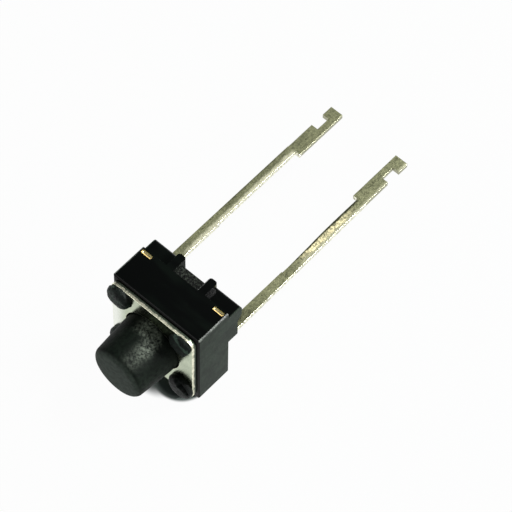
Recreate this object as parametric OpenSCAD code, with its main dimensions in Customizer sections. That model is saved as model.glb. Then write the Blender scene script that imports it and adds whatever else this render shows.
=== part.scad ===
// Tactile push button switch with two long flat leads, lying on its side.
// The button's axis is the Y axis: the button points to -Y and the leads to +Y.
// The origin is on that axis, in the plane of the feet that sit on the board.

/* [Housing] */
// Side of the square moulded housing
body_w = 6.0; // [5.8:0.1:7.0]
// Radius of the four long corners of the housing
body_corner_r = 0.12; // [0.05:0.01:0.3]
// Bevel round the housing's front edge
front_bevel = 0.08; // [0.04:0.01:0.12]
// Depth of the full-width front part of the housing
front_depth = 2.25; // [2.1:0.05:2.8]
// Depth of the rear part, which the leads run out under
rear_depth = 0.7; // [0.6:0.05:1.4]
// Drop from the front part's upper and lower faces to the rear part's
rear_drop = 0.4; // [0.2:0.05:0.7]

/* [Feet] */
// Height of the feet over the housing's rear face
foot_h = 0.3; // [0.1:0.05:0.5]
// Distance between the inner faces of a pair of peg feet
peg_gap = 1.68; // [1.2:0.02:2.2]
// Width of each peg foot
peg_w = 0.5; // [0.36:0.02:0.7]
// Length of each peg foot down the rear face
peg_len = 1.6; // [0.8:0.1:1.8]
// Radius of the peg feet's corners
peg_r = 0.16; // [0.04:0.02:0.17]
// Height of the side feet's lower end over the button's axis, at the board
side_foot_low = 1.8; // [1.6:0.05:2.0]
// Run of the slope under each side foot
side_foot_slope = 0.4; // [0.1:0.05:0.5]
// Radius of the side feet's upper edge
side_foot_r = 0.25; // [0.05:0.05:0.25]
// Diameter of the round pad in the middle of the rear face
centre_pad_d = 2.0; // [1.2:0.1:2.2]

/* [Well and snap dome] */
// Thickness of the housing's wall round the well, at its thinnest
well_wall = 0.85; // [0.75:0.01:1.1]
// Gap between the dome's rim and the wall of the well
dome_gap = 0.25; // [0.1:0.01:0.4]
// Height of the dome's crown over the floor of the well
dome_rise = 0.29; // [0.27:0.01:0.45]
// Thickness of the dome's spring sheet
dome_t = 0.06; // [0.04:0.01:0.1]

/* [Button] */
// Height of the button over the cover
button_h = 2.8; // [1.0:0.1:6.0]
// Width of the flange round the button, which the cover holds in
flange_lip = 0.27; // [0.22:0.01:0.45]
// Length of the straight stretch of the button over the cover
button_root_len = 0.4; // [0.1:0.05:0.6]
// Distance from the button's root in to its tip, on the radius
button_tip_inset = 0.15; // [0.05:0.01:0.4]
// Radius of the button's rim
button_rim_r = 0.42; // [0.1:0.02:0.5]
// Thickness of the flange
flange_t = 0.6; // [0.3:0.05:0.7]
// Running clearance round the flange, on the radius
flange_clear = 0.08; // [0.05:0.01:0.1]
// Running clearance round the button in the cover, on the radius
button_clear = 0.08; // [0.04:0.01:0.1]
// Play between the flange and the cover's back
flange_play = 0.02; // [0.01:0.01:0.05]
// Diameter of the nub that presses the dome
nub_d = 1.4; // [0.8:0.1:2.0]
// Bevel on the end of the nub
nub_bevel = 0.15; // [0.05:0.05:0.3]
// Gap between the nub and the dome at rest
nub_gap = 0.02; // [0.01:0.01:0.04]

/* [Cover and its stakes] */
// Distance from the housing's edges in to the cover's
cover_inset = 0.175; // [0.1:0.005:0.3]
// Thickness of the cover plate
cover_t = 0.3; // [0.15:0.05:0.5]
// Radius of the cover's corners
cover_r = 0.42; // [0.2:0.02:0.6]
// Distance from the cover's edges in to the centre of each stake
stake_inset = 0.725; // [0.72:0.005:0.76]
// Diameter of each stake in its hole
stake_d = 1.0; // [0.8:0.02:1.04]
// Clearance round each stake in its hole, on the radius
stake_clear = 0.03; // [0.01:0.01:0.05]
// Diameter of each stake's melted head
stake_head_d = 1.58; // [1.2:0.02:1.64]
// Height of each stake's melted head
stake_head_h = 0.45; // [0.3:0.05:0.6]

/* [Leads] */
// Distance from the housing's side faces in to the leads, which sets their 5.0 mm pitch
lead_inset = 0.2; // [0.17:0.01:0.3]
// Thickness of the lead sheet
lead_t = 0.3; // [0.25:0.01:0.35]
// Width of each lead where it leaves the housing
lead_w = 0.6; // [0.5:0.01:0.64]
// Inner radius of the bend inside the housing
bend_r = 0.1; // [0.05:0.01:0.15]
// Plastic between the lead sheet and the seam of the housing
sheet_cover = 0.07; // [0.05:0.01:0.15]
// Gap on the inner side of each lead where it runs out under the rear part
lead_gap = 0.15; // [0.05:0.01:0.3]
// Width of the cut tie bars that show on the upper face
tie_w = 0.75; // [0.66:0.01:0.78]
// Length of each lead from the board to its end
lead_len = 13.6; // [12.6:0.1:22.0]
// Distance from the board to the small step in each lead
lead_step_y = 4.0; // [2.0:0.1:6.0]
// How much narrower each lead is past its step
lead_step = 0.05; // [0.02:0.01:0.1]

/* [Lead ends] */
// Length of the wide paddle, its notch and its head together
paddle_len = 3.5; // [2.6:0.1:4.0]
// Width of the paddle
paddle_w = 0.83; // [0.75:0.01:0.95]
// Distance from the lead's outer edge in to the paddle's
paddle_inset = 0.02; // [0.01:0.01:0.05]
// Length of the head past the notch
head_len = 0.7; // [0.4:0.05:1.0]
// Length of the notch along the lead
notch_len = 0.9; // [0.4:0.05:1.2]
// Depth of the notch into the paddle's outer edge
notch_depth = 0.43; // [0.2:0.01:0.5]

/* [Contacts] */
// Reach of the rim contact under the dome, from the well's wall
rim_contact_in = 0.8; // [0.5:0.05:1.0]
// Length of the rim contact below the button's axis
rim_contact_low = 0.9; // [0.5:0.05:1.1]
// Length of the rim contact above the button's axis
rim_contact_high = 1.1; // [0.8:0.05:1.2]
// Slit between the rim contact and its own lead
contact_slit = 0.075; // [0.05:0.005:0.1]
// Diameter of the centre contact
centre_contact_d = 1.1; // [0.9:0.05:1.4]
// Width of the arm that reaches the centre contact
arm_w = 0.6; // [0.4:0.05:0.7]
// Thickness of that arm where it passes under the dome's rim
arm_t = 0.15; // [0.1:0.01:0.2]
// Rise of the contact arms' lower edge over the end of the bend
arm_rise = 0.05; // [0.02:0.01:0.1]

/* [Hidden] */
$fn = 48;

half = body_w / 2;
cut = 0.5;

// Places along the button's axis, from the board forwards
rear_y = -foot_h;
seam_y = rear_y - rear_depth;
front_y = seam_y - front_depth;
cover_y = front_y - cover_t;
tip_y = cover_y - button_h;

// The lead sheet lies in the front part, and the well's floor is level with its front
sheet_back_y = seam_y - sheet_cover;
floor_y = sheet_back_y - lead_t;
bend_y = sheet_back_y + bend_r;
bend_z = lead_t / 2 + bend_r;

// The well, and what fits in it
well_d = body_w - 2 * well_wall;
dome_d = well_d - 2 * dome_gap;
flange_d = well_d - 2 * flange_clear;
button_root_d = flange_d - 2 * flange_lip;
button_tip_d = button_root_d - 2 * button_tip_inset;
flange_front_y = front_y + flange_play;
flange_back_y = flange_front_y + flange_t;
nub_end_y = floor_y - dome_rise - nub_gap;

// The cover and its stakes, whose heads start at this angle of their dome
brim_angle = 18;
cover_w = body_w - 2 * cover_inset;
stake_pitch = cover_w - 2 * stake_inset;

// The leads
lead_outer_x = half - lead_inset;
lead_inner_x = lead_outer_x - lead_w;
lead_x = lead_outer_x - lead_w / 2;
arm_z = bend_z + arm_rise;

// The dome, as a cap of a sphere
function cap_r(a, h) = (a * a + h * h) / (2 * h);
function cap_arc(a, h, y0, n) = let (r = cap_r(a, h), t = asin(a / r))
    [for (i = [0:n]) let (b = t * (1 - i / n)) [r * sin(b), y0 + h - r + r * cos(b)]];
function reversed(v) = [for (i = [len(v) - 1:-1:0]) v[i]];

// Quarter arc about (cx, cy), from the angle a0 to a1
function arc(cx, cy, r, a0, a1, n = 8) =
    [for (i = [0:n]) let (a = a0 + (a1 - a0) * i / n) [cx + r * cos(a), cy + r * sin(a)]];

// Extrudes a drawing of the X-Z plane from y0 to y1
module along_y(y0, y1) translate([0, y1, 0]) rotate([90, 0, 0]) linear_extrude(y1 - y0) children();

// Extrudes a drawing of the Y-Z plane from x0 to x1
module along_x(x0, x1) translate([x0, 0, 0]) rotate([90, 0, 90]) linear_extrude(x1 - x0) children();

// Turns a drawing round the button's axis, with its second coordinate pointing to the button
module turned() rotate([90, 0, 0]) rotate_extrude($fn = 72) children();

module disc(d, y0, y1, x = 0, z = 0)
    translate([x, y1, z]) rotate([90, 0, 0]) cylinder(h = y1 - y0, d = d, $fn = 72);

module rounded_square(w, r) {
    square([w, w - 2 * r], center = true);
    square([w - 2 * r, w], center = true);
    for (x = [-1, 1], z = [-1, 1]) translate([x, z] * (w / 2 - r)) circle(r);
}

// Places a child at each of the four stakes
module at_stakes() for (x = [-1, 1], z = [-1, 1]) translate([x, 0, z] * stake_pitch / 2) children();

// One 45 degree prism for each front edge
module front_bevels() {
    side = front_bevel * sqrt(2);
    for (a = [0:90:270]) rotate([0, a, 0]) translate([0, front_y, half]) rotate([45, 0, 0])
        cube([body_w + cut, side, side], center = true);
}

module front_block() difference() {
    along_y(front_y, seam_y) rounded_square(body_w, body_corner_r);
    front_bevels();
}

// The rear part is lower than the front part, and cut away below the leads' upper faces
module rear_block() difference() {
    pocket_w = half - lead_inner_x + lead_gap;
    along_y(seam_y, rear_y) square([body_w, body_w - 2 * rear_drop], center = true);
    for (x = [-half - cut, half - pocket_w]) translate([x, seam_y, -half])
        cube([pocket_w + cut, rear_depth + cut, half + lead_t / 2]);
}

// One of the four pegs, which stand on the rear part's edge and run down its face
module peg_foot() translate([peg_gap / 2, 0, half - peg_len]) linear_extrude(peg_len) {
    translate([0, seam_y]) square([peg_w, rear_depth + foot_h - peg_r]);
    translate([peg_r, -peg_r - cut / 2]) square([peg_w - 2 * peg_r, peg_r + cut / 2]);
    for (x = [peg_r, peg_w - peg_r]) translate([x, -peg_r]) circle(peg_r);
}

// A broad foot from the upper peg to the side face, level with the rear part's upper face
module side_foot() along_x(peg_gap / 2 + peg_w / 2, half) polygon(concat(
    [[rear_y - cut / 2, side_foot_low - side_foot_slope], [rear_y, side_foot_low - side_foot_slope],
     [0, side_foot_low]],
    arc(-side_foot_r, half - rear_drop - side_foot_r, side_foot_r, 0, 90),
    [[rear_y - cut / 2, half - rear_drop]]));

module feet() {
    for (x = [0, 1], z = [0, 1]) mirror([x, 0, 0]) mirror([0, 0, z]) peg_foot();
    for (x = [0, 1]) mirror([x, 0, 0]) side_foot();
    disc(centre_pad_d, rear_y - cut / 2, 0);
}

// The stake runs through the cover and ends in a low melted dome
module stake() {
    disc(stake_d, cover_y - stake_head_h / 8, front_y + cut);
    turned() polygon(concat([[0, -cover_y], [stake_head_d / 2, -cover_y]],
        [for (p = arc(0, 0, 1, brim_angle, 90)) [p[0] * stake_head_d / 2, p[1] * stake_head_h - cover_y]]));
}

// A terminal is one stamped sheet: tie bar, contact, bend and long lead. side is -1 or 1
module terminal_shape(side) mirror([side < 0 ? 1 : 0, 0, 0]) {
    // The upright bar, cut off level with the housing's upper face
    translate([lead_x - tie_w / 2, floor_y, bend_z]) cube([tie_w, lead_t, half - bend_z]);
    bend();
    translate([0, 0, -lead_t / 2]) linear_extrude(lead_t) lead_outline();
    if (side < 0) rim_contact(); else centre_contact();
}

module bend() along_x(lead_inner_x, lead_outer_x) intersection() {
    translate([bend_y, bend_z]) difference() {
        circle(bend_r + lead_t);
        circle(bend_r);
    }
    translate([bend_y - bend_r - lead_t, bend_z - bend_r - lead_t]) square(bend_r + lead_t);
}

// The lead seen from above, with its inner shoulder, its notch and its hooked head
module lead_outline() {
    paddle_outer = lead_outer_x - paddle_inset;
    paddle_inner = paddle_outer - paddle_w;
    shoulder_y = lead_len - paddle_len;
    head_y = lead_len - head_len;
    notch_x = paddle_outer - notch_depth;
    polygon([[lead_outer_x, bend_y], [lead_outer_x, shoulder_y], [paddle_outer, shoulder_y],
        [paddle_outer, head_y - notch_len], [notch_x, head_y - notch_len], [notch_x, head_y],
        [paddle_outer, head_y], [paddle_outer, lead_len], [paddle_inner, lead_len],
        [paddle_inner, shoulder_y], [lead_inner_x + lead_step, shoulder_y],
        [lead_inner_x + lead_step, lead_step_y], [lead_inner_x, lead_step_y], [lead_inner_x, bend_y]]);
}

// A broad contact under one side of the dome's rim, joined to the bar above the bend
module rim_contact() {
    inner_x = well_d / 2 - rim_contact_in;
    outer_x = lead_inner_x - contact_slit;
    along_y(floor_y, sheet_back_y) {
        translate([inner_x, -rim_contact_low])
            square([outer_x - inner_x, rim_contact_low + rim_contact_high]);
        translate([inner_x, arm_z]) square([lead_x - inner_x, rim_contact_high - arm_z]);
    }
}

// A round contact under the crown, on an arm thinned to pass behind the rim
module centre_contact() {
    disc(centre_contact_d, floor_y, sheet_back_y);
    along_y(sheet_back_y - arm_t, sheet_back_y) {
        translate([0, arm_z]) square([lead_x, arm_w]);
        translate([-arm_w / 2, 0]) square([arm_w, arm_z + arm_w]);
    }
}

module base_housing() color([0.06, 0.06, 0.065]) difference() {
    union() {
        front_block();
        rear_block();
        feet();
        at_stakes() stake();
    }
    disc(well_d, front_y - cut, floor_y);
    for (side = [-1, 1]) terminal_shape(side);
}

module terminal_left() color([0.62, 0.62, 0.56]) terminal_shape(-1);

module terminal_right() color([0.62, 0.62, 0.56]) terminal_shape(1);

// The dome's rim rests on the floor of the well, and its crown under the nub
module snap_dome() color([0.75, 0.76, 0.78]) turned()
    polygon(concat(cap_arc(dome_d / 2, dome_rise, -floor_y, 12),
        reversed(cap_arc(dome_d / 2 - dome_t, dome_rise - dome_t, -floor_y, 12))));

// The button with its flange and its nub, turned in one piece
module plunger() color([0.13, 0.135, 0.13]) turned() polygon(concat(
    [[0, -nub_end_y], [nub_d / 2 - nub_bevel, -nub_end_y], [nub_d / 2, -nub_end_y + nub_bevel],
     [nub_d / 2, -flange_back_y], [flange_d / 2, -flange_back_y], [flange_d / 2, -flange_front_y],
     [button_root_d / 2, -flange_front_y], [button_root_d / 2, -cover_y + button_root_len]],
    arc(button_tip_d / 2 - button_rim_r, -tip_y - button_rim_r, button_rim_r, 0, 90),
    [[0, -tip_y]]));

module cover_plate() color([0.72, 0.74, 0.66]) difference() {
    along_y(cover_y, front_y) rounded_square(cover_w, cover_r);
    disc(button_root_d + 2 * button_clear, cover_y - cut, front_y + cut);
    at_stakes() disc(stake_d + 2 * stake_clear, cover_y - cut, front_y + cut);
}

base_housing();
terminal_left();
terminal_right();
snap_dome();
plunger();
cover_plate();
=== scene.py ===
"""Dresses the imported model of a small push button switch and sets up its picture.

Lengths of the switch are written in millimetres and turned into metres when a mesh is made.
The switch lies on its side: the button points to -Y, the leads to +Y, and +Z is up.
"""

import logging
import math
from dataclasses import dataclass, field
from enum import Enum, IntEnum
from typing import Callable, Iterable, Optional, Sequence, Union

import bmesh
import bpy
from mathutils import Matrix, Vector, noise

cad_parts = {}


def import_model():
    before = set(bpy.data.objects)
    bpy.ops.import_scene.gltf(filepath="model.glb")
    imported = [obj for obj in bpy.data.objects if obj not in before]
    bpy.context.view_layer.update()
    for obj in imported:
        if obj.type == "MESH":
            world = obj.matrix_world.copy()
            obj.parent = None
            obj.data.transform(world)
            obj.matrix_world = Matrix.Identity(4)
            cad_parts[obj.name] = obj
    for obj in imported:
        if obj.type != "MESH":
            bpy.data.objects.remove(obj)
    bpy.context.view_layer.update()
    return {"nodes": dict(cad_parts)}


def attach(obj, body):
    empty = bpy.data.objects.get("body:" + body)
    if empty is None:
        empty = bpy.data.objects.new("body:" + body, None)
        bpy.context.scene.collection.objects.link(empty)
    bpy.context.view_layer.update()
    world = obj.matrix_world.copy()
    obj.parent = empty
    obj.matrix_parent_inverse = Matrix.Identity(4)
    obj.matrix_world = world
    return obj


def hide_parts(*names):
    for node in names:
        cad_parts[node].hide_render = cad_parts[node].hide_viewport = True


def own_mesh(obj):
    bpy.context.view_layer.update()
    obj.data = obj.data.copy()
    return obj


MM = 0.001
PICTURE = 512
LOG = logging.getLogger("switch")

Material = bpy.types.Material
Colour = tuple[float, float, float]
Point = tuple[float, float, float]


class Body(Enum):
    """The rigid bodies that a piece can ride on."""

    HOUSING = "housing"
    BUTTON = "button"


class Slot(Enum):
    """The record's material slots."""

    HOUSING = "housing_plastic"
    BUTTON = "button_plastic"
    COVER = "cover_metal"
    LEAD = "lead_metal"
    DOME = "dome_metal"


class Side(Enum):
    """The two leads, seen with the button towards the viewer."""

    LEFT = -1
    RIGHT = 1


# ---- shader maths ----


class Sock:
    """A node's output that can be used in an expression on values."""

    def __init__(self, sheet: "Sheet", socket: bpy.types.NodeSocket) -> None:
        """Wraps one output.

        Args:
            sheet: The material sheet that the output belongs to.
            socket: The output itself.
        """
        self.sheet = sheet
        self.socket = socket

    def maths(self, operation: str, *values: "Value") -> "Sock":
        """Adds a Math node.

        Args:
            operation: The Math node's operation.
            *values: Its inputs, in order.

        Returns:
            The node's output.
        """
        return self.sheet.add("ShaderNodeMath", {"operation": operation}, dict(enumerate(values)))

    def __add__(self, other: "Value") -> "Sock":
        """Returns self + other."""
        return self.maths("ADD", self, other)

    def __radd__(self, other: "Value") -> "Sock":
        """Returns other + self."""
        return self.maths("ADD", other, self)

    def __sub__(self, other: "Value") -> "Sock":
        """Returns self - other."""
        return self.maths("SUBTRACT", self, other)

    def __rsub__(self, other: "Value") -> "Sock":
        """Returns other - self."""
        return self.maths("SUBTRACT", other, self)

    def __mul__(self, other: "Value") -> "Sock":
        """Returns self * other."""
        return self.maths("MULTIPLY", self, other)

    def __rmul__(self, other: "Value") -> "Sock":
        """Returns other * self."""
        return self.maths("MULTIPLY", other, self)

    def __truediv__(self, other: "Value") -> "Sock":
        """Returns self / other."""
        return self.maths("DIVIDE", self, other)

    def __rtruediv__(self, other: "Value") -> "Sock":
        """Returns other / self."""
        return self.maths("DIVIDE", other, self)

    def __pow__(self, other: "Value") -> "Sock":
        """Returns self to the power of other."""
        return self.maths("POWER", self, other)

    def __rpow__(self, other: "Value") -> "Sock":
        """Returns other to the power of self."""
        return self.maths("POWER", other, self)

    def __abs__(self) -> "Sock":
        """Returns the size of self without its sign."""
        return self.maths("ABSOLUTE", self)

    def at_least(self, other: "Value") -> "Sock":
        """Returns the larger of the two."""
        return self.maths("MAXIMUM", self, other)

    def at_most(self, other: "Value") -> "Sock":
        """Returns the smaller of the two."""
        return self.maths("MINIMUM", self, other)

    def rise(self, low: float, high: float) -> "Sock":
        """Goes smoothly from 0 at low to 1 at high, or back down where high is the lower one.

        Args:
            low: The value that gives 0.
            high: The value that gives 1.

        Returns:
            The mask.
        """
        return self.sheet.add(
            "ShaderNodeMapRange",
            {"interpolation_type": "SMOOTHSTEP"},
            {"Value": self, "From Min": low, "From Max": high, "To Min": 0.0, "To Max": 1.0},
        )


Value = Union[Sock, float]
Tint = Union[Sock, Colour]


class Sheet:
    """One material's or world's node tree, and the nodes that are written onto it."""

    def __init__(self, tree: bpy.types.NodeTree) -> None:
        """Empties the tree.

        Args:
            tree: The node tree to write on.
        """
        self.tree = tree
        tree.nodes.clear()

    def add(
        self,
        kind: str,
        settings: Optional[dict] = None,
        sockets: Optional[dict] = None,
        output: Union[int, str] = 0,
    ) -> Sock:
        """Adds any node.

        Args:
            kind: The node's type.
            settings: The node's own settings, which are set first.
            sockets: A value, a colour or a link for each input, by name or number.
            output: The output to return, by name or number.

        Returns:
            The chosen output, or the node's first input where it has no output.
        """
        node = self.tree.nodes.new(kind)
        for key, value in (settings or {}).items():
            setattr(node, key, value)
        for key, value in (sockets or {}).items():
            target = node.inputs[key]
            if isinstance(value, Sock):
                self.tree.links.new(value.socket, target)
            elif isinstance(value, tuple) and len(value) == 3 and target.type == "RGBA":
                target.default_value = (*value, 1.0)
            else:
                target.default_value = value
        return Sock(self, node.outputs[output] if len(node.outputs) else node.inputs[0])

    def place(self) -> Sock:
        """Returns the place on the piece, in millimetres."""
        here = self.add("ShaderNodeTexCoord", output="Object")
        return self.add(
            "ShaderNodeVectorMath", {"operation": "SCALE"}, {0: here, "Scale": 1.0 / MM}
        )

    def axes(self, vector: Sock) -> tuple[Sock, Sock, Sock]:
        """Splits a vector.

        Args:
            vector: The vector to split.

        Returns:
            Its X, Y and Z.
        """
        split = self.add("ShaderNodeSeparateXYZ", None, {0: vector})
        x, y, z = (Sock(self, output) for output in split.socket.node.outputs)
        return x, y, z

    def stretched(self, vector: Sock, by: Point) -> Sock:
        """Stretches a place.

        Args:
            vector: The place.
            by: The factor along each axis.

        Returns:
            The new place.
        """
        return self.add("ShaderNodeVectorMath", {"operation": "MULTIPLY"}, {0: vector, 1: by})

    def grain(self, vector: Sock, size: float, detail: float = 2.0, rough: float = 0.5) -> Sock:
        """Adds soft noise.

        Args:
            vector: The place, in millimetres.
            size: The size of its patches, in millimetres.
            detail: How many finer layers it has.
            rough: How strong the finer layers are.

        Returns:
            A value around 0.5.
        """
        return self.add(
            "ShaderNodeTexNoise",
            {"noise_dimensions": "3D"},
            {"Vector": vector, "Scale": 1.0 / size, "Detail": detail, "Roughness": rough},
        )

    def blend(self, share: Value, first: Tint, second: Tint) -> Sock:
        """Mixes two colours.

        Args:
            share: 0 for the first colour, 1 for the second.
            first: The first colour.
            second: The second colour.

        Returns:
            The mixed colour.
        """
        return self.add(
            "ShaderNodeMix", {"data_type": "RGBA"}, {0: share, 6: first, 7: second}, output=2
        )

    def relief(self, height: Value, depth: float, under: Optional[Sock] = None) -> Sock:
        """Turns a height into a normal.

        Args:
            height: The height, from 0 to 1.
            depth: The depth that a height of 1 stands for, in millimetres.
            under: A coarser relief below this one.

        Returns:
            The normal.
        """
        sockets: dict = {"Height": height, "Distance": depth * MM, "Strength": 1.0}
        if under is not None:
            sockets["Normal"] = under
        return self.add("ShaderNodeBump", None, sockets)

    def finish(self, sockets: dict) -> None:
        """Ends the sheet with the surface shader.

        Args:
            sockets: The Principled shader's inputs.
        """
        shader = self.add("ShaderNodeBsdfPrincipled", None, sockets)
        self.add("ShaderNodeOutputMaterial", None, {"Surface": shader})


def new_sheet(name: str) -> tuple[Material, Sheet]:
    """Makes an empty material.

    Args:
        name: The material's name.

    Returns:
        The material and its sheet.
    """
    material = bpy.data.materials.new(name)
    material.use_nodes = True
    return material, Sheet(material.node_tree)


# ---- finishes ----


@dataclass(frozen=True)
class MouldedPlastic:
    """The housing's black plastic: glossy above, matt at the sides, rough where it was torn. Its top
    and the hollows behind the seam take a near-black tone that is partly the gloss and partly
    painted shade, and the ledge in front beside the cover is painted near-black as shade.
    """

    name: str = "moulded_black"
    polished_and_shade: Colour = (0.0014, 0.0017, 0.0016)
    matt: Colour = (0.0108, 0.0190, 0.0126)
    torn: Colour = (0.040, 0.048, 0.037)
    shaded_ledge_y: float = -3.14
    polished_from: float = 2.94
    recess_x: float = 0.86
    recess_y: float = -1.02
    recess_z: float = 2.2
    rear: tuple[float, float, float] = (2.97, -1.0, 2.46)

    def make(self) -> Material:
        """Returns the material."""
        material, s = new_sheet(self.name)
        here = s.place()
        x, y, z = s.axes(here)
        fine = s.grain(here, 0.075, 3.0, 0.65)
        patch = s.grain(here, 0.55, 3.0, 0.55)
        flow = s.grain(s.stretched(here, (0.5, 1.6, 1.0)), 1.5, 2.0)
        # The top and the faces behind the seam, above the rear step, take the near-black tone:
        # partly the gloss, partly painted shade.
        side, seam, low = self.rear
        behind = y.rise(seam - 0.03, seam + 0.01) * z.rise(low, low + 0.06)
        behind = behind * abs(x).rise(side, side - 0.04)
        above = z.rise(self.polished_from, self.polished_from + 0.05).at_least(behind)
        recess = (
            abs(x).rise(self.recess_x + 0.03, self.recess_x - 0.03)
            * y.rise(self.recess_y - 0.04, self.recess_y + 0.02)
            * z.rise(self.recess_z, self.recess_z + 0.08)
        )
        speck = fine.rise(0.46, 0.68) * (patch.rise(0.3, 0.7) * 0.6 + 0.4)
        matt = s.blend(speck * 0.6, self.matt, self.torn)
        matt = s.blend(s.grain(here, 0.2, 3.0, 0.7).rise(0.44, 0.6) * 0.22, matt, self.torn)
        matt = s.blend(patch.rise(0.72, 0.3) * 0.45, matt, self.polished_and_shade)
        # Painted shade: in front of the given Y, the ledge beside the cover turns near-black.
        matt = s.blend(y.rise(self.shaded_ledge_y, self.shaded_ledge_y - 0.05), matt, self.polished_and_shade)
        haze = flow.rise(0.45, 0.8) * 0.12
        colour = s.blend(above, matt, s.blend(haze, self.polished_and_shade, self.matt))
        torn = s.blend(s.grain(here, 0.13, 4.0, 0.7).rise(0.46, 0.62), self.polished_and_shade, self.torn)
        colour = s.blend(recess * 0.6, colour, torn)
        scuff = s.grain(s.stretched(here, (1.1, 5.0, 1.0)), 0.35, 4.0, 0.65).rise(0.62, 0.75)
        rough_above = 0.17 + patch * 0.08 + scuff * 0.12
        rough = above * rough_above + (1.0 - above) * (0.40 + fine * 0.22)
        rough = rough * (1.0 - recess) + recess * 0.62
        coarse = s.relief(s.grain(here, 0.14, 3.0, 0.6) * (recess * 5.0 + 0.25), 0.012)
        normal = s.relief(fine * (1.0 - above * 0.86), 0.005, coarse)
        s.finish(
            {"Base Color": colour, "Roughness": rough, "Normal": normal, "Specular IOR Level": 0.09}
        )
        return material


@dataclass(frozen=True)
class EdgeHighlightPlastic:
    """The same plastic along its edges, painted pale as an edge highlight."""

    name: str = "painted_edge_highlight"
    pale: Colour = (0.080, 0.092, 0.078)
    dark: Colour = (0.016, 0.020, 0.017)

    def make(self) -> Material:
        """Returns the material."""
        material, s = new_sheet(self.name)
        here = s.place()
        fine = s.grain(here, 0.05, 3.0, 0.6)
        highlight_patch = s.grain(here, 0.4, 4.0, 0.65)
        s.finish(
            {
                "Base Color": s.blend(highlight_patch.rise(0.40, 0.62), self.pale, self.dark),
                "Roughness": 0.26 + fine * 0.16,
                "Normal": s.relief(fine, 0.004),
                "Specular IOR Level": 0.42,
            }
        )
        return material


@dataclass(frozen=True)
class MeltedPlastic:
    """The same plastic where the stakes were melted down: uneven, torn and half glossy, with painted
    shade on each head's upper right side and on the heads at +X, and a painted highlight streak on
    the crown of the head at +X, +Z.
    """

    name: str = "melted_black"
    dark: Colour = (0.0018, 0.0034, 0.0026)
    pale: Colour = (0.055, 0.085, 0.066)
    centre: float = 2.1

    def make(self) -> Material:
        """Returns the material."""
        material, s = new_sheet(self.name)
        here = s.place()
        fine = s.grain(here, 0.04, 4.0, 0.65)
        lump = s.grain(here, 0.28, 3.0, 0.6)
        streak = s.grain(s.stretched(here, (1.0, 4.0, 1.0)), 0.22, 3.0, 0.6)
        x, _, z = s.axes(here)
        share = lump.rise(0.36, 0.68) * 0.55 + fine.rise(0.55, 0.75) * 0.35
        share = share + streak.rise(0.52, 0.66) * 0.3
        # Painted shade: the heads at +X are made darker than those at -X.
        share = share * (x.rise(1.5, -1.5) * 0.78 + 0.22)
        across = x - x.maths("SIGN", x) * self.centre
        above = z - z.maths("SIGN", z) * self.centre
        upward = across * 0.5 + above * 0.87 + streak * 0.3
        # Painted shade: each head's upper right side goes nearly black.
        shade = upward.rise(0.46, 0.64)
        share = share * (1.0 - shade * 0.9)
        # Painted highlight: a pale streak along the crown's shoulder of the head at +X, +Z.
        crown_highlight = upward.rise(0.44, 0.54) * upward.rise(0.74, 0.64) * lump.rise(0.35, 0.55)
        corner = x.rise(0.0, 0.1) * z.rise(0.0, 0.1)
        share = share + crown_highlight * corner * 0.8
        colour = s.blend(share.at_most(1.0), self.dark, self.pale)
        coarse = s.relief(streak, 0.02)
        s.finish(
            {
                "Base Color": colour,
                "Roughness": 0.36 + fine * 0.2 + lump * 0.12 + corner * 0.25,
                "Normal": s.relief(fine, 0.009, coarse),
                "Specular IOR Level": 0.14,
            }
        )
        return material


@dataclass(frozen=True)
class GrainyPlastic:
    """The button's charcoal plastic with its grain, a painted highlight that glints in a band along
    the stem, painted shade on the stem's top, and a tip painted lighter as its lit face.
    """

    name: str = "grainy_charcoal"
    tip: Colour = (0.040, 0.052, 0.042)
    base: Colour = (0.0063, 0.0103, 0.0068)
    pit_and_shade: Colour = (0.0012, 0.0024, 0.0016)
    painted_sparkle: Colour = (0.150, 0.174, 0.140)
    tip_from: float = -6.2

    def make(self) -> Material:
        """Returns the material."""
        material, s = new_sheet(self.name)
        here = s.place()
        x, y, z = s.axes(here)
        fine = s.grain(here, 0.13, 3.0, 0.65)
        medium = s.grain(here, 0.2, 3.0, 0.6)
        broad = s.grain(here, 0.9, 2.0)
        stem = y.rise(self.tip_from - 0.08, self.tip_from + 0.08)
        turn = x.maths("ARCTAN2", x, z)
        # Painted highlight: a band on the stem's upper side leaning towards +X, broken up by the
        # grain and tinted towards a pale glint colour. It fades out near the cover as a painted
        # shadow of the housing and weakens towards the tip.
        ridge = turn.rise(0.0, 0.46).at_least(turn.rise(-0.5, -0.05) * y.rise(-4.6, -4.1))
        ridge = ridge * turn.rise(0.82, 0.44) * y.rise(self.tip_from - 0.1, -5.9)
        lit = ridge * (y + turn * 1.2).rise(-2.95, -3.4) * (y.rise(-5.6, -4.6) * 0.55 + 0.45)
        lit = lit * (broad.rise(0.3, 0.6) * 0.4 + 0.6)
        colour = s.blend(medium.rise(0.58, 0.36) * 0.8, self.base, self.pit_and_shade)
        # Painted shade: towards the stem's top, the colour sinks to the dark pits' tone.
        colour = s.blend(z.rise(0.4, 1.0) * 0.55, colour, self.pit_and_shade)
        # The tip is given a lighter tone than the stem: painted light on its front-facing face.
        tip = s.blend(medium.rise(0.6, 0.35) * 0.45, self.tip, self.base)
        colour = s.blend(stem, tip, colour)
        colour = s.blend(fine.rise(0.34, 0.68) * lit * 0.75, colour, self.painted_sparkle)
        coarse = s.relief(medium * (0.2 + stem * 0.8), 0.022)
        s.finish(
            {
                "Base Color": colour,
                "Roughness": 0.46 + fine * 0.24,
                "Normal": s.relief(fine * (0.3 + stem * 0.7), 0.016, coarse),
                "Specular IOR Level": 0.07,
            }
        )
        return material


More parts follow.
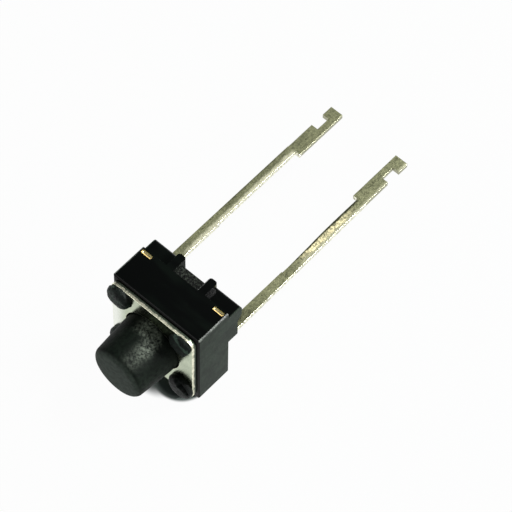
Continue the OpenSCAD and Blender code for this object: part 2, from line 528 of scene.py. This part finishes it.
@dataclass(frozen=True)
class TinPlate:
    """Tinned sheet: a grey skin with clouds and fine rolling marks, and, where asked, a painted
    reflection of the white floor towards its lower left.
    """

    name: str
    light: Colour
    dark: Colour
    rough: float
    cloud: float
    streaks: Point
    wave: float = 0.004
    floor_glare: float = 0.0
    floor_glare_tone: Colour = (0.93, 0.95, 0.89)

    def make(self) -> Material:
        """Returns the material."""
        material, s = new_sheet(self.name)
        here = s.place()
        cloud = s.grain(here, self.cloud, 4.0, 0.62)
        fine = s.grain(here, 0.05, 3.0, 0.6)
        rolled = s.grain(s.stretched(here, self.streaks), 0.12, 3.0, 0.6)
        share = cloud.rise(0.34, 0.68) * 0.75 + rolled.rise(0.35, 0.75) * 0.3
        colour = s.blend(share.at_most(1.0), self.light, self.dark)
        x, _, z = s.axes(here)
        # Painted reflection: towards -X and low Z the colour turns almost white, standing in for the
        # floor seen in the metal.
        floor_glare_share = x.rise(-1.7, -2.7) * z.rise(2.4, 1.4) * self.floor_glare
        colour = s.blend(floor_glare_share, colour, self.floor_glare_tone)
        swell = s.relief(s.grain(here, 0.7, 2.0), self.wave)
        s.finish(
            {
                "Base Color": colour,
                "Metallic": 1.0,
                "Roughness": self.rough + cloud * 0.06 + fine * 0.05,
                "Normal": s.relief(fine, 0.0012, s.relief(rolled, 0.0015, swell)),
            }
        )
        return material


@dataclass(frozen=True)
class LeadSkin:
    """The leads' thin tin over brass: speckled olive, with a painted gold highlight on one stretch
    of the right lead, painted shade near the housing and along each lead's -X edge, and a paler band
    along each lead's +X half.
    """

    name: str = "lead_skin"
    pale: Colour = (0.32, 0.33, 0.190)
    olive: Colour = (0.150, 0.158, 0.092)
    pit_and_shade: Colour = (0.038, 0.041, 0.022)
    pale_band_tone: Colour = (0.80, 0.79, 0.58)
    gold: Colour = (1.0, 0.90, 0.56)
    centre: float = 2.5
    stretch: tuple[float, float] = (4.6, 9.9)
    root: tuple[float, float] = (1.7, 0.6)
    dim: tuple[float, float, float, float] = (3.2, 3.8, 4.8, 5.4)

    def make(self) -> Material:
        """Returns the material."""
        material, s = new_sheet(self.name)
        here = s.place()
        x, y, _ = s.axes(here)
        fine = s.grain(here, 0.13, 4.0, 0.8)
        flecks = s.grain(s.stretched(here, (1.6, 1.0, 1.6)), 0.30, 4.0, 0.75)
        broad = s.grain(s.stretched(here, (0.6, 1.0, 1.0)), 1.2, 2.0)
        share = fine.rise(0.40, 0.60) * 0.7 + broad.rise(0.62, 0.38) * 0.3
        colour = s.blend(share, self.pale, self.olive)
        colour = s.blend(flecks.rise(0.53, 0.63) * 0.5, colour, self.pit_and_shade)
        right = x.rise(-0.1, 0.1)
        across = x - x.maths("SIGN", x) * self.centre + (flecks - 0.5) * 0.35
        low, high = self.stretch
        paddle = y.rise(high, high + 0.3)
        # A paler band along each lead's +X half: on the left lead from y 1 to the paddle, and on the
        # right lead, fainter, from y 4.3 on.
        rim_left = across.rise(-0.03, 0.18) * y.rise(1.0, 2.2) * (1.0 - paddle) * 0.85
        rim_right = across.rise(0.0, 0.14) * y.rise(low - 0.3, low + 1.2) * 0.35
        pale_band = rim_left * (1.0 - right) + rim_right * right
        colour = s.blend(pale_band, colour, self.pale_band_tone)
        # Painted highlight: a mottled gold band along the middle of the right lead, between about y
        # 5 and 10.
        bright = right * across.rise(-0.27, -0.16) * across.rise(0.12, 0.02)
        bright = bright * y.rise(low + 0.3, low + 1.6) * y.rise(high, high - 1.9)
        bright = bright * (1.0 - fine.rise(0.44, 0.60) * 0.8) * (1.0 - flecks.rise(0.5, 0.6) * 0.7)
        colour = s.blend(bright, colour, self.gold)
        # Painted shade on the right lead, strongest next to the housing, with a slightly darker band
        # between y 3.2 and 5.4.
        dim = y.rise(*self.dim[:2]) * y.rise(self.dim[3], self.dim[2])
        dark = y.rise(*self.root) * 0.75 + dim * 0.22
        colour = s.blend(dark * right * (flecks.rise(0.40, 0.56) * 0.6 + 0.4), colour, self.pit_and_shade)
        # Painted shade: a dark line along each lead's -X edge, from the stretch's start to the
        # paddle, stronger on the right lead.
        margin = across.rise(-0.19, -0.26) * y.rise(low - 0.2, low + 0.2) * (1.0 - paddle)
        colour = s.blend(margin * (right * 0.5 + 0.45), colour, self.pit_and_shade)
        s.finish(
            {
                "Base Color": colour,
                "Metallic": 1.0,
                "Roughness": 0.38 + fine * 0.14 + bright * 0.06,
                "Normal": s.relief(fine, 0.005, s.relief(flecks, 0.008)),
            }
        )
        return material


@dataclass(frozen=True)
class ShearedMetal:
    """A cut edge: half burnished, half torn, brighter than the skin."""

    name: str
    bright: Colour
    torn: Colour
    rough: float = 0.26
    grain: float = 0.3
    darker_from: tuple[float, float] = (50.0, 51.0)
    darker_tone: Colour = (0.2, 0.2, 0.15)

    def make(self) -> Material:
        """Returns the material."""
        material, s = new_sheet(self.name)
        here = s.place()
        tear = s.grain(s.stretched(here, (3.0, 1.6, 1.0)), self.grain, 4.0, 0.7)
        fine = s.grain(here, 0.05, 2.0)
        colour = s.blend(tear.rise(0.44, 0.60), self.bright, self.torn)
        _, y, _ = s.axes(here)
        # Beyond a given Y the colour turns to a darker tone; on the cover's edge, this is painted
        # shade next to the housing.
        low, high = self.darker_from
        darker_tone = (y + (tear - 0.5) * (high - low) * 3.0).rise(low, high)
        colour = s.blend(darker_tone, colour, self.darker_tone)
        s.finish(
            {
                "Base Color": colour,
                "Metallic": 1.0,
                "Roughness": self.rough + tear * 0.2,
                "Normal": s.relief(tear + fine * 0.4, 0.010),
            }
        )
        return material


@dataclass(frozen=True)
class PaleFloor:
    """A white sheet that keeps the switch's shadow and looks white to the eye and in gloss.

    The shadow is painted in two ovals, under the front corner and under the button: there the white
    glow gives way to the matt sheet, which is painted dark towards the corner oval's middle. Each
    oval is given as its middle in X and Y and its half widths, and fades between two sizes of its
    oval.
    """

    name: str = "pale_floor"
    paper: Colour = (0.20, 0.235, 0.225)
    glow: float = 0.97
    corner: Colour = (0.040, 0.052, 0.049)
    crevice: tuple[float, float, float, float] = (1.38, -2.87, 1.21, 1.18)
    crevice_fade: tuple[float, float] = (1.81, 1.37)
    crevice_deep: tuple[float, float] = (1.49, 0.92)
    skirt: tuple[float, float, float, float] = (0.0, -3.96, 1.77, 1.01)
    skirt_fade: tuple[float, float] = (1.2, 0.18)

    def make(self) -> Material:
        """Returns the material."""
        material, s = new_sheet(self.name)
        rays = s.add("ShaderNodeLightPath").socket.node.outputs
        x, y, _ = s.axes(s.place())
        reach = []
        for middle_x, middle_y, half_x, half_y in (self.crevice, self.skirt):
            reach.append(((x - middle_x) / half_x) ** 2.0 + ((y - middle_y) / half_y) ** 2.0)
        under_corner = reach[0].rise(*self.crevice_fade)
        under_button = reach[1].rise(*self.skirt_fade)
        near = 1.0 - (1.0 - under_corner) * (1.0 - under_button)
        deep = reach[0].rise(*self.crevice_deep)
        seen = Sock(s, rays["Is Camera Ray"]) * (1.0 - near)
        seen = seen.at_least(Sock(s, rays["Is Glossy Ray"]))
        seen = seen.at_least(Sock(s, rays["Is Transmission Ray"]))
        # Painted shadow: the matt sheet's colour turns dark towards the corner oval's middle.
        shade = s.blend(deep, self.paper, self.corner)
        matt = s.add("ShaderNodeBsdfDiffuse", None, {"Color": shade})
        white = s.add("ShaderNodeEmission", None, {"Color": (1.0, 1.0, 1.0), "Strength": 1.0})
        both = s.add("ShaderNodeMixShader", None, {0: seen * self.glow, 1: matt, 2: white})
        s.add("ShaderNodeOutputMaterial", None, {"Surface": both})
        return material


@dataclass
class Finishes:
    """Every finish of the switch, made once."""

    housing: Material = field(default_factory=MouldedPlastic().make)
    rubbed: Material = field(default_factory=EdgeHighlightPlastic().make)
    melted: Material = field(default_factory=MeltedPlastic().make)
    button: Material = field(default_factory=GrainyPlastic().make)
    cover: Material = field(
        default_factory=TinPlate(
            "cover_skin",
            (0.47, 0.53, 0.38),
            (0.37, 0.42, 0.30),
            0.13,
            0.9,
            (8.0, 1.0, 0.5),
            wave=0.012,
            floor_glare=0.85,
        ).make
    )
    # The back of the cover's edge, next to the housing, is darkened as painted shade.
    cover_edge: Material = field(
        default_factory=ShearedMetal(
            "cover_edge",
            (0.93, 0.92, 0.72),
            (0.60, 0.61, 0.46),
            darker_from=(-3.46, -3.38),
            darker_tone=(0.085, 0.11, 0.08),
        ).make
    )
    lead: Material = field(default_factory=LeadSkin().make)
    lead_edge: Material = field(
        default_factory=ShearedMetal(
            "lead_edge",
            (0.97, 0.96, 0.80),
            (0.45, 0.45, 0.32),
            grain=0.2,
            darker_from=(10.0, 10.3),
            darker_tone=(0.36, 0.36, 0.25),
        ).make
    )
    tie_rim: Material = field(
        default_factory=ShearedMetal(
            "tie_rim",
            (0.88, 0.72, 0.34),
            (0.66, 0.50, 0.19),
            rough=0.72,
            darker_from=(-1.24, -1.16),
            darker_tone=(0.26, 0.23, 0.09),
        ).make
    )
    tie_middle: Material = field(
        default_factory=ShearedMetal(
            "tie_middle", (0.22, 0.17, 0.06), (0.05, 0.045, 0.02), rough=0.5
        ).make
    )
    dome: Material = field(
        default_factory=TinPlate(
            "dome_steel", (0.72, 0.72, 0.70), (0.6, 0.6, 0.58), 0.2, 0.8, (1.0, 1.0, 1.0)
        ).make
    )


# ---- mesh work ----


def put(name: str, data: bpy.types.ID) -> bpy.types.Object:
    """Adds an object to the scene.

    Args:
        name: The object's name.
        data: Its mesh, camera or lamp.

    Returns:
        The object.
    """
    thing = bpy.data.objects.new(name, data)
    bpy.context.scene.collection.objects.link(thing)
    return thing


class Workpiece:
    """A mesh in the making, in millimetres."""

    def __init__(self, name: str) -> None:
        """Starts an empty piece.

        Args:
            name: The name of the finished object.
        """
        self.name = name
        self.bm = bmesh.new()

    def copy_of(self, node: bpy.types.Object, flat_angle: float = 0.6) -> None:
        """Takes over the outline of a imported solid, with its flat faces whole again.

        Args:
            node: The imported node.
            flat_angle: The angle below which two faces count as one, in degrees.
        """
        self.bm.from_mesh(node.data)
        bmesh.ops.scale(self.bm, vec=(1.0 / MM,) * 3, verts=self.bm.verts)
        bmesh.ops.remove_doubles(self.bm, verts=self.bm.verts, dist=0.0004)
        bmesh.ops.dissolve_degenerate(self.bm, edges=self.bm.edges, dist=0.0004)
        bmesh.ops.dissolve_limit(
            self.bm,
            angle_limit=math.radians(flat_angle),
            verts=self.bm.verts,
            edges=self.bm.edges,
        )

    def trim(self, at: Point, normal: Point) -> None:
        """Cuts off and closes what lies on the far side of a plane.

        Args:
            at: A point on the plane.
            normal: The direction of the part that goes.
        """
        geometry = [*self.bm.verts, *self.bm.edges, *self.bm.faces]
        cut = bmesh.ops.bisect_plane(
            self.bm, geom=geometry, dist=1e-5, plane_co=at, plane_no=normal, clear_outer=True
        )
        edges = [e for e in cut["geom_cut"] if isinstance(e, bmesh.types.BMEdge)]
        bmesh.ops.contextual_create(self.bm, geom=[e for e in edges if e.is_boundary])

    def soften(self, width: float, material: int, steps: int = 3, from_angle: float = 25.0) -> None:
        """Rounds the sharp edges.

        Args:
            width: The width of the rounding.
            material: The material of the new faces.
            steps: How many faces it has across.
            from_angle: The angle from which an edge counts as sharp, in degrees.
        """
        limit = math.radians(from_angle)
        sharp = [
            e
            for e in self.bm.edges
            if len(e.link_faces) == 2 and e.calc_face_angle(0.0) > limit
        ]
        bmesh.ops.bevel(
            self.bm,
            geom=sharp,
            offset=width,
            offset_type="OFFSET",
            segments=steps,
            profile=0.5,
            affect="EDGES",
            clamp_overlap=True,
            material=material,
            loop_slide=True,
        )

    def split_long(self, longest: float, only: Callable[[bmesh.types.BMEdge], bool]) -> None:
        """Puts points along long edges.

        Args:
            longest: The longest stretch that is left.
            only: A test that picks the edges.
        """
        for edge in [e for e in self.bm.edges if only(e)]:
            cuts = int(edge.calc_length() / longest)
            if cuts:
                bmesh.ops.subdivide_edges(self.bm, edges=[edge], cuts=cuts)

    def turned(
        self,
        profile: Sequence[tuple[float, float]],
        around: int,
        centre: tuple[float, float] = (0.0, 0.0),
        push: Optional[Callable[[int, Vector], Vector]] = None,
        material: int = 0,
    ) -> None:
        """Adds a body turned round a line along Y.

        Args:
            profile: Radius and Y of each ring, from one closed end to the other.
            around: How many faces go round.
            centre: The line's X and Z.
            push: Moves a point; it gets the ring's number and the point.
            material: The material of the faces.
        """
        rings: list[list[bmesh.types.BMVert]] = []
        for number, (radius, y) in enumerate(profile):
            count = 1 if radius < 1e-6 else around
            ring = []
            for step in range(count):
                angle = math.tau * step / around
                point = Vector(
                    (centre[0] + radius * math.cos(angle), y, centre[1] + radius * math.sin(angle))
                )
                ring.append(self.bm.verts.new(push(number, point) if push else point))
            rings.append(ring)
        for first, second in zip(rings, rings[1:]):
            for step in range(around):
                after = (step + 1) % around
                corners = [first[step % len(first)], first[after % len(first)]]
                corners += [second[after % len(second)], second[step % len(second)]]
                unique = list(dict.fromkeys(corners))
                face = self.bm.faces.new(unique)
                face.material_index = material

    def place(
        self,
        body: Body,
        slot: Slot,
        materials: Iterable[Material],
        stands_for: Sequence[str] = (),
        smooth_to: float = 14.0,
    ) -> bpy.types.Object:
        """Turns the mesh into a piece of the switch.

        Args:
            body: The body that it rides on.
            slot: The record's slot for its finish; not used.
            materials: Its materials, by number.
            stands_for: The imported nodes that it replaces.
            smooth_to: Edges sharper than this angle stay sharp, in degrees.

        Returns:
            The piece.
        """
        bm = self.bm
        bmesh.ops.recalc_face_normals(bm, faces=bm.faces)
        bmesh.ops.scale(bm, vec=(MM,) * 3, verts=bm.verts)
        for face in bm.faces:
            face.smooth = True
        for edge in bm.edges:
            edge.smooth = edge.calc_face_angle(0.0) < math.radians(smooth_to)
        mesh = bpy.data.meshes.new(self.name)
        bm.to_mesh(mesh)
        bm.free()
        for material in materials:
            mesh.materials.append(material)
        piece = put(self.name, mesh)
        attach(piece, body.value)
        if stands_for:
            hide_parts(*stands_for)
        LOG.info("%s: %d faces on %s", self.name, len(mesh.polygons), body.value)
        return piece


def wander(point: Vector, size: float, seed: int) -> float:
    """Returns smooth noise from about -1 to 1.

    Args:
        point: The place, in millimetres.
        size: The size of its waves.
        seed: Moves the pattern.
    """
    shifted = point / size + Vector((17.3, 5.9, 11.7)) * seed
    return noise.fractal(shifted, 0.75, 2.1, 3, noise_basis="PERLIN_ORIGINAL")


def ease(value: float) -> float:
    """Returns 0 up to 0, 1 from 1 on, and a smooth step between."""
    held = min(1.0, max(0.0, value))
    return held * held * (3.0 - 2.0 * held)


# ---- the pieces ----


class Plastic(IntEnum):
    """The housing's materials, by number."""

    MOULDED = 0
    MELTED = 1
    RUBBED = 2


class Metal(IntEnum):
    """The materials of the cover and the leads, by number."""

    SKIN = 0
    SHEARED = 1
    TIE_RIM = 2
    TIE_MIDDLE = 3
    TIE_FLASH = 4


@dataclass
class StakeHead:
    """One stake with its melted head, over the cover.

    lean shifts the head in X. tear sinks the side that tear_angle points at. flat is how far
    out the side at flat_angle is cut off, and flat_firm the share of what lies beyond that
    goes. Angles run from +X towards +Z.
    """

    x: float
    z: float
    seed: int
    radius: float = 0.82
    height: float = 0.47
    brim: float = 0.15
    shank: float = 0.49
    rough: float = 0.045
    lean: float = 0.0
    tear: float = 0.0
    tear_angle: float = 0.0
    flat: float = 9.0
    flat_angle: float = 0.0
    flat_firm: float = 0.85

    def profile(self, cover_y: float, root_y: float) -> list[tuple[float, float]]:
        """Returns radius and Y of each ring, from the shank's root to the crown.

        Args:
            cover_y: The cover's front.
            root_y: Where the shank starts in the housing.
        """
        points = [(0.0, root_y), (self.shank, root_y), (self.shank, cover_y)]
        points += [(self.radius * 0.93, cover_y + 0.003)]
        steps = 26
        for step in range(steps + 1):
            angle = math.pi / 2 * step / steps
            out = math.cos(angle) ** 0.55
            up = math.sin(angle) ** 0.8
            y = cover_y - self.brim * self.height - (1.0 - self.brim) * self.height * up
            points.append((self.radius * out if step < steps else 0.0, y))
        return points

    def build(self, work: Workpiece, cover_y: float, root_y: float) -> None:
        """Adds the stake to the housing.

        Args:
            work: The housing's workpiece.
            cover_y: The cover's front.
            root_y: Where the shank starts.
        """
        centre = Vector((self.x, cover_y, self.z))

        def push(ring: int, point: Vector) -> Vector:
            """Melts a point of the head out of its even shape."""
            if ring < 3:
                return point
            away = point - centre
            outward = Vector((math.cos(self.flat_angle), 0.0, math.sin(self.flat_angle)))
            edge = self.flat + 0.05 * wander(point, 0.35, self.seed + 7)
            away -= outward * max(0.0, away.dot(outward) - edge) * self.flat_firm
            if ring == 3:
                return centre + away
            share = min(1.0, -away.y / self.height)
            sink = self.rough * (1.0 - wander(point, 0.42, self.seed)) * 0.5
            sink += self.rough * 0.5 * abs(wander(point, 0.13, self.seed + 3))
            shrunk = 1.0 - sink / self.radius
            along = away.x * math.cos(self.tear_angle) + away.z * math.sin(self.tear_angle)
            along += 0.10 * wander(point, 0.3, self.seed + 5)
            reach = math.hypot(away.x, away.z)
            dent = self.tear * ease((along - 0.36) / 0.08) * ease((self.radius * 0.9 - reach) / 0.06)
            down = away.y + (sink + dent) * share
            return centre + Vector((away.x * shrunk + self.lean, down, away.z * shrunk))

        work.turned(self.profile(cover_y, root_y), 96, (self.x, self.z), push, Plastic.MELTED)


@dataclass
class Housing:
    """The moulded housing with its four melted stakes."""

    half: float = 3.0
    corner_r: float = 0.12
    front_y: float = -3.25
    seam_y: float = -1.0
    cover_y: float = -3.55
    edge: float = 0.035
    stake_root: float = 0.3
    stakes: tuple[StakeHead, ...] = (
        StakeHead(-2.1, 2.1, 1, radius=0.78, lean=-0.09),
        StakeHead(2.1, 2.1, 2, radius=0.80, height=0.34, flat=0.55, flat_angle=-0.36),
        StakeHead(2.1, -2.1, 3, tear=0.26, tear_angle=1.05),
        StakeHead(-2.1, -2.1, 4),
    )

    def build(self, node: bpy.types.Object, finishes: Finishes) -> None:
        """Builds the piece.

        Args:
            node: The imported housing.
            finishes: The switch's finishes.
        """
        work = Workpiece("housing_shell")
        work.copy_of(node)
        work.trim((0.0, self.front_y - 0.001, 0.0), (0.0, -1.0, 0.0))
        # The rounded edges get the pale plastic: a painted edge highlight.
        work.soften(self.edge, Plastic.RUBBED)
        # The rounded front corners get the painted edge highlight too.
        corner = self.half - self.corner_r * 0.8
        for face in work.bm.faces:
            middle = face.calc_center_median()
            if abs(middle.x) > corner and abs(middle.z) > corner and middle.y < self.seam_y:
                face.material_index = Plastic.RUBBED
        for stake in self.stakes:
            stake.build(work, self.cover_y, self.front_y + self.stake_root)
        materials = (finishes.housing, finishes.melted, finishes.rubbed)
        work.place(Body.HOUSING, Slot.HOUSING, materials, ("base_housing",))


@dataclass
class Button:
    """The round button with the flange and nub that the housing hides."""

    tip_y: float = -6.35
    cover_y: float = -3.55
    root_r: float = 1.8
    tip_r: float = 1.65
    straight: float = 0.4
    rim_r: float = 0.42
    crown: float = 0.02
    flange_r: float = 2.07
    flange: tuple[float, float] = (-3.23, -2.63)
    nub_r: float = 0.7
    nub_y: float = -1.68
    around: int = 160
    grain: float = 0.006

    def profile(self) -> list[tuple[float, float]]:
        """Returns radius and Y of each ring, from the tip to the nub."""
        points = [(0.0, self.tip_y)]
        flat = self.tip_r - self.rim_r
        for step in range(1, 13):
            share = step / 12
            points.append((flat * share, self.tip_y + self.crown * share**3))
        start = self.tip_y + self.crown
        depth = self.rim_r - self.crown
        for step in range(1, 13):
            angle = math.pi / 2 * step / 12
            radius = flat + self.rim_r * math.sin(angle)
            points.append((radius, start + depth * (1.0 - math.cos(angle))))
        end_y = self.cover_y - self.straight
        for step in range(1, 25):
            share = step / 24
            y = self.tip_y + self.rim_r + (end_y - self.tip_y - self.rim_r) * share
            points.append((self.tip_r + (self.root_r - self.tip_r) * share, y))
        points += [(self.root_r, self.cover_y - 0.2), (self.root_r, self.cover_y)]
        points += [(self.root_r, self.flange[0]), (self.flange_r - 0.03, self.flange[0])]
        points += [(self.flange_r, self.flange[0] + 0.03), (self.flange_r, self.flange[1] - 0.03)]
        points += [(self.flange_r - 0.03, self.flange[1]), (self.nub_r, self.flange[1])]
        points += [(self.nub_r, self.nub_y - 0.15), (self.nub_r - 0.15, self.nub_y)]
        return [*points, (0.0, self.nub_y)]

    def build(self, finishes: Finishes) -> None:
        """Builds the piece.

        Args:
            finishes: The switch's finishes.
        """
        work = Workpiece("button_body")

        def push(ring: int, point: Vector) -> Vector:
            """Presses the coarse part of the grain into the stem."""
            if ring == 0 or point.y > self.cover_y:
                return point
            sink = self.grain * 0.5 * (1.0 + wander(point, 0.16, 7))
            away = Vector((point.x, 0.0, point.z))
            return point - away.normalized() * sink

        work.turned(self.profile(), self.around, push=push)
        work.place(Body.BUTTON, Slot.BUTTON, (finishes.button,), ("plunger",), 40.0)


@dataclass
class Cover:
    """The thin square cover, with its sheared edges bright."""

    edge: float = 0.045

    def build(self, node: bpy.types.Object, finishes: Finishes) -> None:
        """Builds the piece.

        Args:
            node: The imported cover.
            finishes: The switch's finishes.
        """
        work = Workpiece("cover_sheet")
        work.copy_of(node)
        for face in work.bm.faces:
            face.material_index = Metal.SKIN if abs(face.normal.y) > 0.7 else Metal.SHEARED
        work.soften(self.edge, Metal.SHEARED)
        materials = (finishes.cover, finishes.cover_edge)
        work.place(Body.HOUSING, Slot.COVER, materials, ("cover_plate",))


@dataclass
class Lead:
    """One stamped terminal: skin above and below, sheared edges all round, a cut tie bar."""

    side: Side
    edge: float = 0.06
    tie_z: float = 3.0
    tie_flash: float = 0.035
    tie_rim: float = 0.075
    tie_dip: float = 0.05
    turn_y: float = -0.9
    waver: float = 0.012
    middle: float = 2.4
    free_from: float = 0.3
    bow: float = 0.10
    bow_from: float = 4.4
    bow_run: float = 3.6

    def build(self, node: bpy.types.Object, finishes: Finishes) -> None:
        """Builds the piece.

        Args:
            node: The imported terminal.
            finishes: The switch's finishes.
        """
        work = Workpiece(f"lead_{self.side.name.lower()}")
        work.copy_of(node)
        for face in work.bm.faces:
            beyond = face.calc_center_median().y > self.turn_y
            skin = abs(face.normal.z) > 0.7 if beyond else abs(face.normal.y) > 0.7
            face.material_index = Metal.SKIN if skin else Metal.SHEARED
        self._dish_tie(work)
        work.split_long(0.25, self._runs_back)
        self._waver(work)
        work.soften(self.edge, Metal.SHEARED)
        for face in work.bm.faces:
            high = face.calc_center_median().z > self.tie_z - self.tie_dip * 0.8
            if face.material_index == Metal.SHEARED and high:
                face.material_index = Metal.TIE_FLASH
        tie = (finishes.tie_rim, finishes.tie_middle, finishes.housing)
        materials = (finishes.lead, finishes.lead_edge, *tie)
        node_name = f"terminal_{self.side.name.lower()}"
        work.place(Body.HOUSING, Slot.LEAD, materials, (node_name,))

    def _dish_tie(self, work: Workpiece) -> None:
        """Sinks the middle of the cut tie bar, under a rim that the plastic crept onto.

        Args:
            work: The terminal's workpiece.
        """
        ends = [
            f
            for f in work.bm.faces
            if f.normal.z > 0.9 and f.calc_center_median().z > self.tie_z - 0.01
        ]
        flash = bmesh.ops.inset_region(
            work.bm, faces=ends, thickness=self.tie_flash, depth=0.0, use_even_offset=True
        )["faces"]
        bmesh.ops.inset_region(
            work.bm, faces=ends, thickness=self.tie_rim, depth=-self.tie_dip, use_even_offset=True
        )
        for face in work.bm.faces:
            height = face.calc_center_median().z
            if height > self.tie_z - self.tie_dip * 1.5:
                rim = height > self.tie_z - self.tie_dip * 0.8
                face.material_index = Metal.TIE_RIM if rim else Metal.TIE_MIDDLE
        for face in flash:
            face.material_index = Metal.TIE_FLASH

    @staticmethod
    def _runs_back(edge: bmesh.types.BMEdge) -> bool:
        """Returns whether an edge runs along the free part of the lead."""
        first, second = (v.co for v in edge.verts)
        return min(first.y, second.y) > -0.8 and abs(first.y - second.y) > 0.2

    def _waver(self, work: Workpiece) -> None:
        """Makes the sheared edges run a little unevenly, always inwards, and bows the right lead.

        Args:
            work: The terminal's workpiece.
        """
        middle = self.side.value * self.middle
        for vert in work.bm.verts:
            if vert.co.y > self.free_from:
                place = Vector((self.side.value * 3.0, vert.co.y, 0.0))
                amount = self.waver * 0.5 * (1.0 + wander(place, 0.7, 5 + self.side.value))
                vert.co.x += math.copysign(amount, middle - vert.co.x)
                if self.side is Side.RIGHT:
                    vert.co.x -= self.bow * ease((vert.co.y - self.bow_from) / self.bow_run)


@dataclass
class SnapDome:
    """The spring disc under the button, copied from the imported dome into a mesh of its own."""

    rim_y: float = -1.37
    flat_share: float = 0.19

    def build(self, node: bpy.types.Object, finishes: Finishes) -> None:
        """Builds the piece.

        Args:
            node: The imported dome.
            finishes: The switch's finishes.
        """
        work = Workpiece("dome_spring")
        work.copy_of(node)
        piece = work.place(
            Body.HOUSING, Slot.DOME, (finishes.dome,), ("snap_dome",), smooth_to=40.0
        )
        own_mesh(piece)


# ---- the picture ----


@dataclass
class Viewpoint:
    """The camera, as it was fitted to the photograph."""

    azimuth: float = 43.502
    elevation: float = 60.041
    roll: float = -0.737
    distance: float = 150.0
    target: Point = (0.0, -1.25, 0.0)
    target_pixel: tuple[float, float] = (182.57, 312.43)
    focal_pixels: float = 2883.6
    sensor: float = 36.0

    def build(self) -> None:
        """Places the camera and turns it so that the target falls on its pixel."""
        a, e, r = (math.radians(v) for v in (self.azimuth, self.elevation, self.roll))
        forward = Vector((-math.sin(a) * math.cos(e), math.cos(a) * math.cos(e), -math.sin(e)))
        level = Vector((math.cos(a), math.sin(a), 0.0))
        upright = level.cross(forward)
        right = level * math.cos(r) + upright * math.sin(r)
        up = upright * math.cos(r) - level * math.sin(r)
        across = self.target_pixel[0] - PICTURE / 2
        down = self.target_pixel[1] - PICTURE / 2
        seen = Vector((across, -down, self.focal_pixels)).normalized()
        turn = seen.rotation_difference(Vector((0.0, 0.0, 1.0))).to_matrix()
        basis = Matrix((right, up, forward)).transposed() @ turn
        spin = Matrix((basis.col[0], basis.col[1], -basis.col[2])).transposed()
        data = bpy.data.cameras.new("camera")
        data.sensor_width = self.sensor
        data.lens = self.focal_pixels * self.sensor / PICTURE
        data.clip_start = 0.01
        data.clip_end = 5.0
        camera = put("camera", data)
        place = Vector(self.target) - forward * self.distance
        camera.matrix_world = Matrix.Translation(place * MM) @ spin.to_4x4()
        bpy.context.scene.camera = camera


@dataclass(frozen=True)
class SoftBox:
    """One square lamp that points at the switch."""

    name: str
    azimuth: float
    elevation: float
    distance: float
    size: float
    level: float

    def build(self, target: Point) -> None:
        """Places the lamp.

        Args:
            target: What it points at, in millimetres.
        """
        a, e = math.radians(self.azimuth), math.radians(self.elevation)
        away = Vector((math.sin(a) * math.cos(e), -math.cos(a) * math.cos(e), math.sin(e)))
        data = bpy.data.lights.new(self.name, "AREA")
        data.shape = "SQUARE"
        data.size = self.size * MM
        data.energy = self.level * math.pi * (self.distance * MM) ** 2 * 4.0
        lamp = put(self.name, data)
        lamp.location = (Vector(target) + away * self.distance) * MM
        lamp.rotation_mode = "QUATERNION"
        lamp.rotation_quaternion = away.to_track_quat("Z", "Y")


@dataclass
class Studio:
    """The floor, the pale surroundings and the lamps."""

    floor_z: float = -3.0
    floor_half: float = 900.0
    horizon: float = 0.40
    zenith: float = 0.05
    target: Point = (0.0, 0.0, 0.0)
    lamps: tuple[SoftBox, ...] = (
        SoftBox("key_right", 80.0, 36.0, 160.0, 90.0, 0.14),
        SoftBox("front_low", -25.0, 30.0, 170.0, 110.0, 0.25),
        SoftBox("back_top", 152.0, 53.0, 160.0, 34.0, 1.3),
        SoftBox("edge_right", 115.0, 30.0, 160.0, 30.0, 0.6),
    )

    def build(self) -> None:
        """Sets up the picture's surroundings."""
        self._floor()
        self._surroundings()
        for lamp in self.lamps:
            lamp.build(self.target)
        bpy.context.scene.view_settings.view_transform = "Standard"

    def _floor(self) -> None:
        """Lays the floor under the switch."""
        bm = bmesh.new()
        h, z = self.floor_half * MM, self.floor_z * MM
        corners = [bm.verts.new((x * h, y * h, z)) for x, y in ((-1, -1), (1, -1), (1, 1), (-1, 1))]
        bm.faces.new(corners)
        mesh = bpy.data.meshes.new("floor")
        bm.to_mesh(mesh)
        bm.free()
        mesh.materials.append(PaleFloor().make())
        floor = put("floor", mesh)

    def _surroundings(self) -> None:
        """Makes the world bright low on the right, dim elsewhere, and white to the eye."""
        world = bpy.data.worlds.new("surroundings")
        world.use_nodes = True
        bpy.context.scene.world = world
        s = Sheet(world.node_tree)
        direction = s.add("ShaderNodeTexCoord", output="Generated")
        x, _, height = s.axes(direction)
        level = height.rise(0.75, 0.05) * (x.rise(-0.8, 0.5) * 0.75 + 0.25)
        level = level * (self.horizon - self.zenith) + self.zenith
        path = s.add("ShaderNodeLightPath", output="Is Camera Ray")
        strength = level * (1.0 - path) + path
        light = s.add(
            "ShaderNodeBackground", None, {"Color": (1.0, 1.0, 1.0), "Strength": strength}
        )
        s.add("ShaderNodeOutputWorld", None, {"Surface": light})


def main() -> None:
    """Builds the camera, the pieces and the studio."""
    logging.basicConfig(level=logging.INFO, format="%(name)s: %(message)s")
    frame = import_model()
    nodes = frame["nodes"]
    Viewpoint().build()
    finishes = Finishes()
    Housing().build(nodes["base_housing"], finishes)
    Cover().build(nodes["cover_plate"], finishes)
    Button().build(finishes)
    for side in Side:
        Lead(side).build(nodes[f"terminal_{side.name.lower()}"], finishes)
    SnapDome().build(nodes["snap_dome"], finishes)
    Studio().build()


if __name__ == "__main__":
    main()
